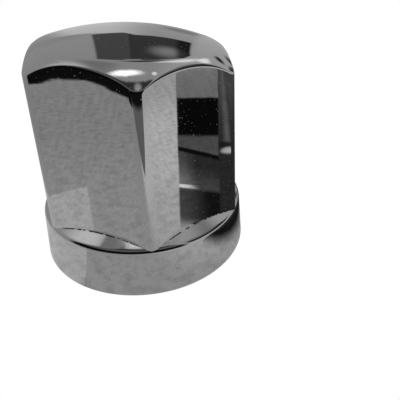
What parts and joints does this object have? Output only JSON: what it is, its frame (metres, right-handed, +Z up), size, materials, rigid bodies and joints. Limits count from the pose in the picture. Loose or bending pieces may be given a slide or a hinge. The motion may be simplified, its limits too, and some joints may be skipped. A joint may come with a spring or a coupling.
{
  "type": "wheel nut cover cap",
  "caption": "Push-on chrome cover cap for a hexagon wheel nut: round collar, drafted flats, rounded rim and low domed top, hollow with grip ribs and a springy grip plate inside.",
  "frame": {"origin": "centre of the collar's open end, in the plane of the lip on which the cap stands", "axes": "+Z up along the cap's axis, from the open end to the domed top; two upright edges of the hexagon lie in the Y axis, and the flat with the grip plate faces +X"},
  "size_m": [0.055, 0.055, 0.0555],
  "materials": {
    "chrome_plating": "bright mirror plating on moulded ABS"
  },
  "bodies": {
    "root": {"cap": "chrome_plating"}
  },
  "joints": []
}
